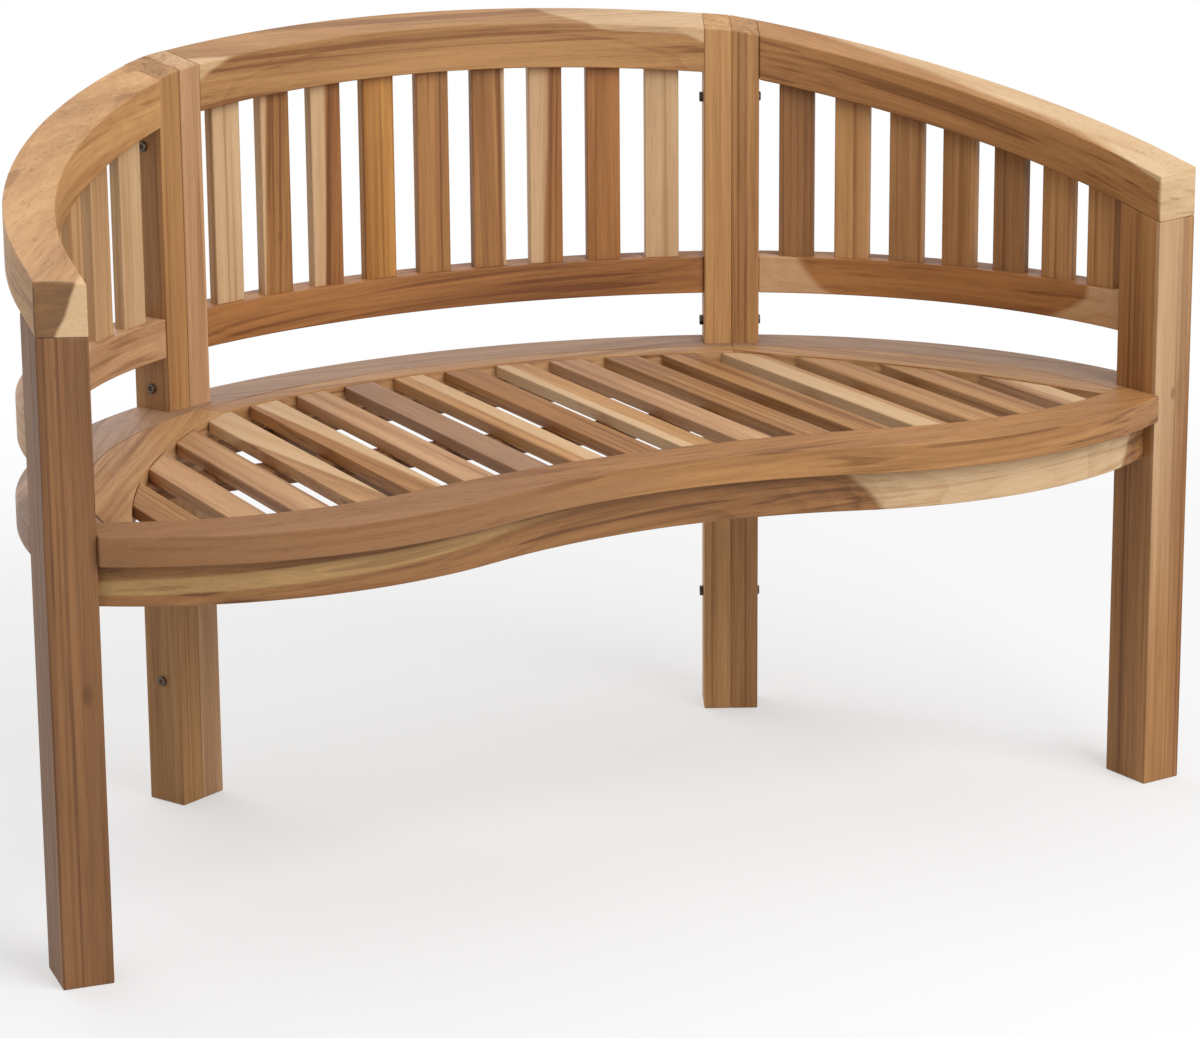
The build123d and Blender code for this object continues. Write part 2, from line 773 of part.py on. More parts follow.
with BuildPart() as seat_side_border:
    with BuildSketch(Plane.XY.offset(seat_bottom)):
        behind(inner_edge, joint_gap)
        with Locations(arm_centre):
            Circle(arm_radius - seat_lap - seam_gap, mode=Mode.INTERSECT)
        add(seat_opening, mode=Mode.SUBTRACT)
    extrude(amount=seat_board)
    split(bisect_by=split_plane, keep=Keep.TOP)
    slat_mortise_cuts()
    batten(batten_width + 2 * joint_gap, batten_mortises, batten_height + joint_gap, Mode.SUBTRACT)
    screw_hole(arm_screw_spot)
write_pair(seat_side_border.part, "seat_side_border")

# Seat slats, with shoulders and tenons cut to the curves of the border
for number, place in enumerate(slat_places, start=1):
    with BuildPart() as seat_slat:
        cut_boards([place], seat_slat_width, slat_shoulders, slat_bottom, seat_slat_thickness)
        cut_boards([place], seat_tenon_width, slat_ends, slat_tenon_bottom, seat_tenon_thickness)
    write(seat_slat.part, f"seat_slat_{number}")

# Bearers from the apron to the back ledger, and the batten across them that carries the slats
with BuildPart() as seat_bearer:
    cut_boards([bearer_place], bearer_width, bearer_shoulders, seat_bottom - bearer_height, bearer_height)
    cut_boards([bearer_place], bearer_tenon, bearer_ends, bearer_tenon_bottom, ledger_joint[1])
write_pair(seat_bearer.part, "seat_bearer")

with BuildPart() as seat_batten:
    batten(batten_width, batten_ends, batten_height)
write(seat_batten.part, "seat_batten")

# Bolts from the arm side of each split post, with their nuts on the back side
bolt_end = -half_post_width - nut_height
bolt_top = half_post_width + bolt_head_height

with BuildPart() as post_bolts:
    for height in bolt_heights:
        axis = bolt_axis(height)
        drill(axis, bolt_radius, bolt_end, half_post_width, Mode.ADD)
        drill(axis, bolt_head_radius, half_post_width, bolt_top, Mode.ADD)
        hexagon(axis, socket_width, bolt_top - socket_depth, bolt_top, Mode.SUBTRACT)
    mirror(about=Plane.YZ)
write(post_bolts.part, "post_bolts")

with BuildPart() as post_nuts:
    for height in bolt_heights:
        axis = bolt_axis(height)
        hexagon(axis, nut_width, bolt_end, -half_post_width)
        drill(axis, bolt_radius + joint_gap, bolt_end, -half_post_width)
    mirror(about=Plane.YZ)
write(post_nuts.part, "post_nuts")

with BuildPart() as seat_screws:
    for spot in back_screw_spots + [arm_screw_spot, flip(arm_screw_spot)]:
        screw(spot)
write(seat_screws.part, "seat_screws")

with BuildPart() as apron_dowels:
    dowels()
write(apron_dowels.part, "apron_dowels")
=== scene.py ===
import bpy
import bmesh
from math import radians
from mathutils import Matrix, Vector


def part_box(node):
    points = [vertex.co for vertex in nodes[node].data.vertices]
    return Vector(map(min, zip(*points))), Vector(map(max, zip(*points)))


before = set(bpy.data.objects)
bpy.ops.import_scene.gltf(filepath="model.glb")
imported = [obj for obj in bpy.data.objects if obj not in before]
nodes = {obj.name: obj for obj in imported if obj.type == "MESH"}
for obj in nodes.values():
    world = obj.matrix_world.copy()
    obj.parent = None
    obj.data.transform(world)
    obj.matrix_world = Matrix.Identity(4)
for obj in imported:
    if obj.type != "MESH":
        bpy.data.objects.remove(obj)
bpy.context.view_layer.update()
scene = bpy.context.scene
scene.view_settings.view_transform = "Standard"
print("frame loaded,", len(nodes), "pieces")


# node helpers
def feed(tree, value, socket):
    if isinstance(value, bpy.types.NodeSocket):
        tree.links.new(value, socket)
    else:
        socket.default_value = value


def calc(tree, operation, first, second=0.0, third=None, clamp=False):
    node = tree.nodes.new("ShaderNodeMath")
    node.operation = operation
    node.use_clamp = clamp
    feed(tree, first, node.inputs[0])
    feed(tree, second, node.inputs[1])
    if third is not None:
        feed(tree, third, node.inputs[2])
    return node.outputs[0]


def vectorCalc(tree, operation, first, second=(0, 0, 0)):
    node = tree.nodes.new("ShaderNodeVectorMath")
    node.operation = operation
    feed(tree, first, node.inputs[0])
    feed(tree, second, node.inputs[1])
    return node.outputs["Value" if operation == "LENGTH" else "Vector"]


noiseMiddle = 0.5  # noise runs from 0 to 1 about this


def noiseAt(tree, vector, detail, roughness=0.5, output="Fac"):
    node = tree.nodes.new("ShaderNodeTexNoise")
    node.inputs["Scale"].default_value = 1.0  # the vector is already stretched
    node.inputs["Detail"].default_value = detail
    node.inputs["Roughness"].default_value = roughness
    feed(tree, vector, node.inputs["Vector"])
    return node.outputs[output]


def smoothStep(tree, value, low, high):
    node = tree.nodes.new("ShaderNodeMapRange")
    node.interpolation_type = "SMOOTHSTEP"
    feed(tree, value, node.inputs["Value"])
    feed(tree, low, node.inputs["From Min"])
    feed(tree, high, node.inputs["From Max"])
    return node.outputs["Result"]


def mixColour(tree, factor, first, second, mode="MIX"):
    node = tree.nodes.new("ShaderNodeMix")
    node.data_type = "RGBA"
    node.blend_type = mode
    feed(tree, factor, node.inputs["Factor"])
    feed(tree, first, node.inputs[6])  # the colour sockets come after the number and vector ones
    feed(tree, second, node.inputs[7])
    return node.outputs[2]


# sawn teak: rings round a pith line, streaks along the grain, pale sapwood outside the heart
teak = dict(
    seedSteps=(3.7, 9.1, 5.3),  # how far a board's seed moves its figure along each axis
    drift=dict(stretch=(1.5, 8, 8), detail=1.0, reach=0.006),  # how far the rings stray from round
    knot=dict(shape=(0.45, 1, 0.2), swell=5.0, core=0.35, weight=0.6),  # swell and core in knot sizes
    ring=dict(stretch=(0.5, 40, 40), detail=1.0, wobble=3.0, contrast=2.0, mean=0.15, weight=0.34,
              rise=(0.25, 0.92), fall=(1.0, 0.95)),
    streaks=dict(
        broad=dict(stretch=(1.8, 32, 32), detail=2.0, roughness=0.55, weight=1.6),
        middle=dict(stretch=(3.2, 135, 135), detail=2.0, roughness=0.55, weight=1.15),
        fine=dict(stretch=(13, 620, 620), detail=2.0, roughness=0.55, weight=0.7),
    ),
    threads=dict(stretch=(0.9, 190, 190), detail=0.0, range=(0.62, 0.72), weight=0.5),  # long dark lines
    pores=dict(stretch=(38, 2100, 2100), detail=1.0, range=(0.57, 0.72), weight=0.22),
    middleTone=0.4,
    stray=dict(stretch=(4, 45, 45), detail=1.0),  # waver of the edges of patches and sapwood
    patchGrain=0.5,  # share of the streaks that shows in a patch
    sap=dict(edge=0.002, stray=0.006, grain=0.55),
    pale=(0.66, 0.46, 0.265),
    rough=dict(least=0.42, streaks=0.2, pores=0.1),
    relief=dict(streaks=0.5, pores=0.6, rings=0.15, strength=0.25, height=0.0004),
    gloss=0.3,
)
teakInputs = {
    "Board": "Vector",
    "Seed": "Float",
    "Pith": "Vector",
    "Ring": "Float",
    "Sap": "Float",
    "Knot": "Vector",
    "Knot Size": "Float",
    "Flow": "Float",
    "Patch": "Vector",
    "Patch Reach": "Vector",
    "Patch Stray": "Float",
    "Patch Edge": "Float",
    "Patch Colour": "Color",
    "Light": "Color",
    "Dark": "Color",
    "Pale": "Color",
}
teakOutputs = {"Colour": "Color", "Roughness": "Float", "Height": "Float"}


def teakGroup():
    group = bpy.data.node_groups.new("sawnTeak", "ShaderNodeTree")
    for name, kind in teakInputs.items():
        group.interface.new_socket(name=name, in_out="INPUT", socket_type="NodeSocket" + kind)
    for name, kind in teakOutputs.items():
        group.interface.new_socket(name=name, in_out="OUTPUT", socket_type="NodeSocket" + kind)
    entry = group.nodes.new("NodeGroupInput").outputs
    result = group.nodes.new("NodeGroupOutput").inputs
    board = entry["Board"]

    seedShift = group.nodes.new("ShaderNodeCombineXYZ")
    for axis, step in zip("XYZ", teak["seedSteps"]):
        feed(group, calc(group, "MULTIPLY", entry["Seed"], step), seedShift.inputs[axis])

    # streaks of a curved board flow along its face, so they change slowly through its thickness
    flow = group.nodes.new("ShaderNodeCombineXYZ")
    for axis, share in zip("XYZ", (1.0, 1.0, entry["Flow"])):
        feed(group, share, flow.inputs[axis])
    flowing = vectorCalc(group, "MULTIPLY", board, flow.outputs[0])

    def grainNoise(look, output="Fac"):
        place = vectorCalc(group, "MULTIPLY", flowing, look["stretch"])
        place = vectorCalc(group, "ADD", place, seedShift.outputs[0])
        return noiseAt(group, place, look["detail"], look.get("roughness", 0.5), output)

    def swing(noise):
        return calc(group, "SUBTRACT", noise, noiseMiddle)

    def plus(first, second):
        return calc(group, "ADD", first, second)

    def times(first, second):
        return calc(group, "MULTIPLY", first, second)

    # distance from the pith, pushed aside by slow drift and by the knot
    reach = 2 * teak["drift"]["reach"]
    drift = vectorCalc(group, "SUBTRACT", grainNoise(teak["drift"], "Color"), (noiseMiddle,) * 3)
    drift = vectorCalc(group, "MULTIPLY", drift, (0, reach, reach))
    across = vectorCalc(group, "SUBTRACT", board, entry["Pith"])
    across = vectorCalc(group, "MULTIPLY", vectorCalc(group, "ADD", across, drift), (0, 1, 1))
    radius = vectorCalc(group, "LENGTH", across)
    knot = teak["knot"]
    knotSize = entry["Knot Size"]
    fromKnot = vectorCalc(group, "SUBTRACT", board, entry["Knot"])
    fromKnot = vectorCalc(group, "LENGTH", vectorCalc(group, "MULTIPLY", fromKnot, knot["shape"]))
    swell = smoothStep(group, fromKnot, times(knotSize, knot["swell"]), 0.0)
    radius = plus(radius, times(swell, knotSize))

    # uneven rings: each darkens towards its outer edge, and only some end in a dark line
    ring = teak["ring"]
    wobble = times(swing(grainNoise(ring)), ring["wobble"])
    turns = plus(calc(group, "DIVIDE", radius, entry["Ring"]), wobble)
    chance = group.nodes.new("ShaderNodeTexWhiteNoise")
    chance.noise_dimensions = "1D"
    feed(group, plus(calc(group, "FLOOR", turns), entry["Seed"]), chance.inputs["W"])
    strength = calc(group, "POWER", chance.outputs["Value"], ring["contrast"])
    phase = calc(group, "FRACT", turns)
    rise = smoothStep(group, phase, *ring["rise"])
    fall = smoothStep(group, phase, *ring["fall"])
    late = times(times(rise, fall), strength)

    # streaks of three widths, long dark threads, and the pores
    streaks = {name: grainNoise(look) for name, look in teak["streaks"].items()}
    threads = smoothStep(group, grainNoise(teak["threads"]), *teak["threads"]["range"])
    pores = smoothStep(group, grainNoise(teak["pores"]), *teak["pores"]["range"])
    depth = times(calc(group, "SUBTRACT", late, ring["mean"]), ring["weight"])
    for name, look in teak["streaks"].items():
        depth = plus(depth, times(swing(streaks[name]), look["weight"]))
    depth = plus(depth, times(threads, teak["threads"]["weight"]))
    depth = calc(group, "ADD", depth, teak["middleTone"], clamp=True)
    heart = mixColour(group, depth, entry["Light"], entry["Dark"])

    # an oval patch of another colour
    stray = swing(grainNoise(teak["stray"]))
    patchTone = mixColour(group, times(depth, teak["patchGrain"]), entry["Patch Colour"], entry["Dark"])
    fromPatch = vectorCalc(group, "SUBTRACT", board, entry["Patch"])
    fromPatch = vectorCalc(group, "MULTIPLY", fromPatch, entry["Patch Reach"])
    fromPatch = plus(vectorCalc(group, "LENGTH", fromPatch), times(stray, entry["Patch Stray"]))
    outer = plus(1.0, entry["Patch Edge"])
    inner = calc(group, "SUBTRACT", 1.0, entry["Patch Edge"])
    heart = mixColour(group, smoothStep(group, fromPatch, outer, inner), heart, patchTone)

    # sapwood, with a wavering edge and fainter streaks
    sap = teak["sap"]
    edge = plus(radius, times(stray, sap["stray"]))
    edge = calc(group, "SUBTRACT", edge, entry["Sap"])
    sapwood = smoothStep(group, edge, -sap["edge"], sap["edge"])
    sapTone = mixColour(group, times(depth, sap["grain"]), entry["Pale"], entry["Light"])
    colour = mixColour(group, sapwood, heart, sapTone)

    # dark pores and the knot's core
    poreShade = calc(group, "SUBTRACT", 1.0, times(pores, teak["pores"]["weight"]))
    colour = mixColour(group, 1.0, colour, poreShade, "MULTIPLY")
    core = smoothStep(group, fromKnot, knotSize, times(knotSize, knot["core"]))
    colour = mixColour(group, times(core, knot["weight"]), colour, entry["Dark"])
    feed(group, colour, result["Colour"])

    rough = teak["rough"]
    dull = calc(group, "MULTIPLY_ADD", streaks["fine"], rough["streaks"], rough["least"])
    feed(group, plus(dull, times(pores, rough["pores"])), result["Roughness"])
    relief = teak["relief"]
    height = times(streaks["fine"], relief["streaks"])
    height = calc(group, "SUBTRACT", height, times(pores, relief["pores"]))
    feed(group, plus(height, times(late, relief["rings"])), result["Height"])
    return group


sawnTeak = teakGroup()

tones = dict(
    cream=dict(light=(0.66, 0.455, 0.26), dark=(0.45, 0.27, 0.13)),
    tan=dict(light=(0.58, 0.345, 0.18), dark=(0.34, 0.17, 0.078)),
    rose=dict(light=(0.41, 0.24, 0.138), dark=(0.215, 0.11, 0.058)),
    amber=dict(light=(0.60, 0.33, 0.135), dark=(0.33, 0.155, 0.053)),
    honey=dict(light=(0.54, 0.305, 0.135), dark=(0.27, 0.12, 0.043)),
    golden=dict(light=(0.54, 0.265, 0.072), dark=(0.28, 0.11, 0.023)),
    toast=dict(light=(0.48, 0.255, 0.098), dark=(0.235, 0.10, 0.033)),
    brown=dict(light=(0.45, 0.22, 0.078), dark=(0.20, 0.08, 0.024)),
    walnut=dict(light=(0.375, 0.178, 0.064), dark=(0.15, 0.06, 0.02)),
    russet=dict(light=(0.41, 0.18, 0.057), dark=(0.175, 0.062, 0.018)),
    umber=dict(light=(0.295, 0.137, 0.053), dark=(0.115, 0.045, 0.016)),
)

# a board with nothing special; the other boards say only what differs from it
plainBoard = dict(
    pith=(0.03, 0.09),  # across and through the board, from its middle
    ring=0.005,
    sap=9.0,  # distance from the pith, here out of reach
    pale=teak["pale"],
    lean=0,  # degrees, grain that runs askew in the face
    flow=1.0,
    knot=(0, 0, 0),
    knotSize=0.0001,  # too small to see
    # reach is half the patch's length along, across and through the board, and 0 is endless
    patch=dict(spot=(0, 0, 9), reach=(0.001, 0.001, 0.001), stray=0.0, edge=0.1, colour=teak["pale"]),
)


def wood(name, grain, width, centre, look):
    look = plainBoard | look
    material = bpy.data.materials.new(name)
    material.use_nodes = True
    tree = material.node_tree
    shader = tree.nodes["Principled BSDF"]
    along = Vector(grain).normalized()
    through = along.cross(Vector(width)).normalized()
    turn = Matrix((along, through.cross(along), through)).transposed()
    turn = turn @ Matrix.Rotation(radians(look["lean"]), 3, "Z")
    mapping = tree.nodes.new("ShaderNodeMapping")
    mapping.vector_type = "TEXTURE"
    mapping.inputs["Location"].default_value = centre
    mapping.inputs["Rotation"].default_value = turn.to_euler()
    place = tree.nodes.new("ShaderNodeTexCoord").outputs["Object"]
    feed(tree, place, mapping.inputs["Vector"])
    group = tree.nodes.new("ShaderNodeGroup")
    group.node_tree = sawnTeak
    tone = tones[look["tone"]]
    patch = look["patch"]
    figure = {
        "Board": mapping.outputs[0],
        "Seed": look["seed"],
        "Pith": (0, *look["pith"]),
        "Ring": look["ring"],
        "Sap": look["sap"],
        "Knot": look["knot"],
        "Knot Size": look["knotSize"],
        "Flow": look["flow"],
        "Patch": turn.transposed() @ (Vector(patch["spot"]) - centre),
        "Patch Reach": [1 / reach if reach else 0 for reach in patch["reach"]],
        "Patch Stray": patch["stray"],
        "Patch Edge": patch["edge"],
        "Patch Colour": (*patch["colour"], 1),
        "Light": (*tone["light"], 1),
        "Dark": (*tone["dark"], 1),
        "Pale": (*look["pale"], 1),
    }
    for socket, value in figure.items():
        feed(tree, value, group.inputs[socket])
    bump = tree.nodes.new("ShaderNodeBump")
    bump.inputs["Strength"].default_value = teak["relief"]["strength"]
    bump.inputs["Distance"].default_value = teak["relief"]["height"]
    feed(tree, group.outputs["Height"], bump.inputs["Height"])
    feed(tree, group.outputs["Colour"], shader.inputs["Base Color"])
    feed(tree, group.outputs["Roughness"], shader.inputs["Roughness"])
    feed(tree, bump.outputs["Normal"], shader.inputs["Normal"])
    shader.inputs["Specular IOR Level"].default_value = teak["gloss"]
    return material


def middleOf(name):
    low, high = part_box(name)
    return (low + high) / 2


def dress(name, grain, width, look):
    nodes[name].material_slots[0].material = wood(name, grain, width, middleOf(name), look)


rightward = (1, 0, 0)
backward = (0, 1, 0)
upward = (0, 0, 1)
armRun = (0.525, -0.851, 0)  # chord of the right arm, from the rear post to the leg


def armGrain(side, fall=0.0):
    # left to right as seen from inside the bench, so the boards' thickness runs inwards
    if side == "right":
        return (armRun[0], armRun[1], -fall)
    return (armRun[0], -armRun[1], fall)


# uprights, grain up, widths to the right, thickness to the back
legs = dict(
    front_leg_left=dict(tone="umber", seed=1.0, pith=(0.06, 0.04), ring=0.008,
                        knot=(-0.04, 0.006, -0.03), knotSize=0.006),
    front_leg_right=dict(tone="brown", seed=2.3, pith=(-0.06, 0.06), ring=0.007,
                         knot=(0.1, 0.004, -0.03), knotSize=0.004,
                         patch=dict(spot=(0.575, -0.234, 0.56), reach=(0.33, 0, 0.004), stray=0.6,
                                    edge=0.5, colour=(0.56, 0.35, 0.19))),
)
posts = dict(
    arm_rear_post_left=dict(tone="toast", seed=3.1, pith=(0.05, 0.03), ring=0.009),
    back_post_left=dict(tone="tan", seed=4.2, pith=(-0.05, 0.06), ring=0.007),
    back_post_right=dict(tone="amber", seed=5.6, pith=(0.08, 0.04), ring=0.008),
    arm_rear_post_right=dict(tone="toast", seed=6.9, pith=(-0.03, 0.07), ring=0.007),
)
for name, look in (legs | posts).items():
    dress(name, upward, rightward, look)
print("legs and posts dressed")

# rails of the back, grain to the right, widths up, thickness to the front
backRails = dict(
    back_top_rail=dict(tone="toast", seed=11.0, pith=(-0.08, -0.07), sap=0.144, ring=0.008, flow=0.12,
                       patch=dict(spot=(0.31, 0.22, 1.235), reach=(0.5, 0.5, 0.5), stray=0.08,
                                  edge=0.004, colour=(0.64, 0.43, 0.24))),
    back_lower_rail=dict(tone="russet", seed=12.0, pith=(0.09, -0.05), ring=0.009, lean=2, flow=0.12),
    back_seat_rail=dict(tone="rose", seed=13.0, pith=(-0.08, 0.02), ring=0.007, flow=0.4),
    back_ledger=dict(tone="umber", seed=14.0),
)
for name, look in backRails.items():
    dress(name, rightward, upward, look)

# rails of the arms, widths up, thickness inwards
armFall = 0.27
noseReach = (0.0865, 0.0865, 0.0865)  # a ball that takes in the end face and little else
armTopRails = dict(
    left=dict(tone="amber", seed=21.0, pith=(0.02, -0.12), sap=0.152, ring=0.011, lean=-8, flow=0.15,
              patch=dict(spot=(-0.586, -0.311, 0.608), reach=noseReach, stray=0.0, edge=0.02,
                         colour=(0.16, 0.082, 0.036))),
    # the right arm's pale patch on its end face is painted light, standing in for the lamp light that
    # falls on that face
    right=dict(tone="brown", seed=22.4, pith=(-0.22, -0.02), sap=0.2425, ring=0.009, lean=1, flow=0.2,
               patch=dict(spot=(0.586, -0.311, 0.608), reach=noseReach, stray=0.0, edge=0.02,
                          colour=(0.64, 0.43, 0.24))),
)
armRails = dict(
    arm_lower_rail_left=dict(tone="tan", seed=23.0, pith=(0.08, -0.06), ring=0.009, flow=0.2),
    arm_lower_rail_right=dict(tone="russet", seed=24.0, pith=(0.03, -0.1), sap=0.0995, ring=0.008,
                              flow=0.2, pale=(0.58, 0.36, 0.195)),
    arm_seat_rail_left=dict(tone="rose", seed=25.0, pith=(-0.07, 0.03), flow=0.4),
    arm_seat_rail_right=dict(tone="rose", seed=26.0, pith=(-0.09, 0.03), flow=0.4),
    arm_ledger_left=dict(tone="umber", seed=27.0),
    arm_ledger_right=dict(tone="umber", seed=28.0),
)
for side, look in armTopRails.items():
    dress("arm_top_rail_" + side, armGrain(side, armFall), upward, look)
for name, look in armRails.items():
    dress(name, armGrain(name.split("_")[-1]), upward, look)
print("rails dressed")

# upright slats of the back, from left to right
slatRing = 0.007
backSlatSeed = dict(start=30, step=1.37)
backSlats = [
    dict(tone="cream", pith=(0.02, 0.12)),
    dict(tone="brown", pith=(0.07, 0.03), sap=0.0905, lean=2, knot=(-0.045, 0.006, 0), knotSize=0.004),
    dict(tone="russet", pith=(0.07, 0.03), sap=0.0825, lean=2),
    dict(tone="golden", pith=(-0.05, 0.1)),
    dict(tone="brown", pith=(-0.02, 0.05)),
    dict(tone="brown", pith=(-0.07, 0.03), sap=0.0905, lean=-1),
    dict(tone="russet", pith=(0.07, 0.03), sap=0.079, lean=1),
    dict(tone="russet", pith=(0.05, 0.06)),
    dict(tone="cream", pith=(-0.03, 0.12)),
]
for number, look in enumerate(backSlats, start=1):
    seed = backSlatSeed["start"] + backSlatSeed["step"] * number
    dress(f"back_slat_{number}", upward, rightward, dict(look, seed=seed, ring=slatRing))

# arm slats share one piece, so tone and grain change with the angle round the arm's centre
armSlats = dict(
    centre=(0.0789, -0.2257),
    firstTurn=37.1,  # degrees from straight back
    step=7.0,
    pith=(0.04, 0.07),
    seedStep=1.7,
    # how much of the other tone each slat has, from the rear post to the leg; the right arm's last slat,
    # beside the leg, takes the paler tone in full as painted light against the leg's shade
    left=dict(tone="honey", other="cream", seed=51.0, shares=(1.0, 0.5, 0.25, 0.15, 0.3, 0.1, 0.2)),
    right=dict(tone="umber", other="amber", seed=57.0, shares=(0.1, 0.9, 0.6, 0.8, 0.35, 0.9, 1.0)),
)


def dressArmSlats(side):
    look = dict(armSlats[side], pith=armSlats["pith"], ring=slatRing)
    name = "arm_slats_" + side
    material = wood(name, upward, rightward, middleOf(name), look)
    tree = material.node_tree
    group = next(node for node in tree.nodes if node.type == "GROUP")
    place = next(node for node in tree.nodes if node.type == "TEX_COORD").outputs["Object"]
    axes = tree.nodes.new("ShaderNodeSeparateXYZ")
    feed(tree, place, axes.inputs[0])
    centre = armSlats["centre"]
    outwards = calc(tree, "SUBTRACT", calc(tree, "ABSOLUTE", axes.outputs["X"]), centre[0])
    backwards = calc(tree, "SUBTRACT", axes.outputs["Y"], centre[1])
    turn = calc(tree, "ARCTAN2", outwards, backwards)
    turn = calc(tree, "SUBTRACT", turn, radians(armSlats["firstTurn"]))
    number = calc(tree, "ROUND", calc(tree, "DIVIDE", turn, radians(armSlats["step"])))
    share = 0.0
    for slat, part in enumerate(look["shares"]):
        here = calc(tree, "COMPARE", number, slat, 0.5)  # within half a step
        share = calc(tree, "ADD", share, calc(tree, "MULTIPLY", here, part))
    seed = calc(tree, "MULTIPLY", number, armSlats["seedStep"])
    feed(tree, calc(tree, "ADD", seed, look["seed"]), group.inputs["Seed"])
    for shade in ("light", "dark"):
        first = (*tones[look["tone"]][shade], 1)
        second = (*tones[look["other"]][shade], 1)
        feed(tree, mixColour(tree, share, first, second), group.inputs[shade.capitalize()])
    nodes[name].material_slots[0].material = material


dressArmSlats("left")
dressArmSlats("right")
print("upright slats dressed")

# seat border and apron, grain to the right, widths up
seatBorder = dict(
    # the darker patch on the left part of its front face is painted shade, for the light that comes from
    # the right
    seat_front_border=dict(tone="brown", seed=61.0, pith=(-0.06, 0.05), ring=0.009, lean=1, flow=0.2,
                           patch=dict(spot=(-0.5, -0.28, 0.395), reach=(0.42, 0.035, 0), stray=0.9,
                                      edge=0.25, colour=(0.31, 0.152, 0.064))),
    seat_back_border=dict(tone="honey", seed=62.0, pith=(-0.07, 0.02), ring=0.007, flow=0.4),
)
for name, look in seatBorder.items():
    dress(name, rightward, upward, look)
apron = dict(tone="walnut", seed=63.0, pith=(-0.05, -0.06), sap=0.113, ring=0.009, lean=2, flow=0.2,
             run=(1, 0.09, 0), patch=dict(spot=(-0.4, -0.26, 0.363), reach=(0.26, 0.0075, 0), stray=0.7,
                                          edge=0.2, colour=(0.52, 0.315, 0.125)))
dress("front_apron", apron["run"], upward, apron)
seatSides = dict(
    left=dict(tone="honey", seed=64.0, pith=(-0.05, 0.05), ring=0.008, flow=0.5),
    right=dict(tone="honey", seed=65.0, pith=(-0.06, 0.04), ring=0.008, flow=0.5),
)
for side, look in seatSides.items():
    dress("seat_side_border_" + side, armGrain(side), upward, look)

# seat slats from left to right, grain to the back, widths to the right, thickness down
seatSlatSeed = dict(start=70, step=1.53)
seatSlatPith = (0.04, 0.06)
seatSlats = [
    dict(tone="honey"),
    dict(tone="tan"),
    dict(tone="tan", pith=(0.02, 0.1)),
    dict(tone="honey", pith=(-0.06, 0.03), sap=0.064, lean=-8),
    dict(tone="brown", pith=(-0.05, 0.03), sap=0.062, lean=-3),
    dict(tone="tan", pith=(0.03, 0.1)),
    dict(tone="rose"),
    dict(tone="amber", pith=(-0.06, 0.02), sap=0.066),
    dict(tone="brown"),
    dict(tone="amber", pith=(0.05, 0.03), sap=0.064),
    dict(tone="tan"),
    dict(tone="toast"),
    dict(tone="toast", pith=(-0.04, 0.05)),
    dict(tone="honey", pith=(0.05, 0.03), sap=0.055),
    dict(tone="honey"),
    dict(tone="honey", pith=(-0.06, 0.03)),
    dict(tone="tan", pith=(-0.05, 0.03), sap=0.06),
]
for number, look in enumerate(seatSlats, start=1):
    seed = seatSlatSeed["start"] + seatSlatSeed["step"] * number
    look = dict(pith=seatSlatPith, seed=seed, ring=slatRing) | look
    dress(f"seat_slat_{number}", backward, rightward, look)
print("seat dressed")

# hidden boards under the seat
underSeat = dict(
    seat_bearer_left=dict(tone="umber", seed=101.0),
    seat_bearer_right=dict(tone="russet", seed=102.0),
    apron_dowels=dict(tone="honey", seed=104.0),
)
for name, look in underSeat.items():
    dress(name, backward, rightward, look)
dress("seat_batten", rightward, upward, dict(tone="umber", seed=103.0))

# metal
metals = dict(
    darkBolt=dict(colour=(0.07, 0.052, 0.04), worn=(0.16, 0.122, 0.092), rough=0.42),
    plainSteel=dict(colour=(0.42, 0.41, 0.39), worn=(0.56, 0.55, 0.53), rough=0.34),
)
mottle = dict(stretch=(260, 260, 260), detail=3.0, roughness=0.6, dulling=0.2)


def metal(name):
    look = metals[name]
    material = bpy.data.materials.new(name)
    material.use_nodes = True
    tree = material.node_tree
    shader = tree.nodes["Principled BSDF"]
    place = tree.nodes.new("ShaderNodeTexCoord").outputs["Object"]
    place = vectorCalc(tree, "MULTIPLY", place, mottle["stretch"])
    patches = noiseAt(tree, place, mottle["detail"], mottle["roughness"])
    colour = mixColour(tree, patches, (*look["colour"], 1), (*look["worn"], 1))
    feed(tree, colour, shader.inputs["Base Color"])
    least = look["rough"] - mottle["dulling"] / 2
    rough = calc(tree, "MULTIPLY_ADD", patches, mottle["dulling"], least)
    feed(tree, rough, shader.inputs["Roughness"])
    shader.inputs["Metallic"].default_value = 1.0
    return material


darkBolt = metal("darkBolt")
plainSteel = metal("plainSteel")
finishes = dict(post_bolts=darkBolt, post_nuts=darkBolt, seat_screws=plainSteel)
for name, finish in finishes.items():
    nodes[name].material_slots[0].material = finish
print("fasteners dressed")

# eased arrises: the loose faces are joined, flat ones merged, and the long sharp edges rounded a little
easing = dict(
    join=1e-5,
    flat=0.05,  # degrees
    sharp=35,  # degrees
    network=0.4,  # metres of joined sharp edges, more than a mortise or a hole has
    segments=2,
    board=0.0013,
    bolt=0.0008,
    nut=0.0004,
)


def shapeGroup(name):
    group = bpy.data.node_groups.new(name, "GeometryNodeTree")
    for way in ("INPUT", "OUTPUT"):
        group.interface.new_socket(name="Geometry", in_out=way, socket_type="NodeSocketGeometry")
    entry = group.nodes.new("NodeGroupInput").outputs[0]
    result = group.nodes.new("NodeGroupOutput").inputs[0]
    return group, entry, result


def shapeStep(group, kind, inputs, **settings):
    node = group.nodes.new(kind)
    for name, value in settings.items():
        setattr(node, name, value)
    for name, value in inputs.items():
        feed(group, value, node.inputs[name])
    return node.outputs


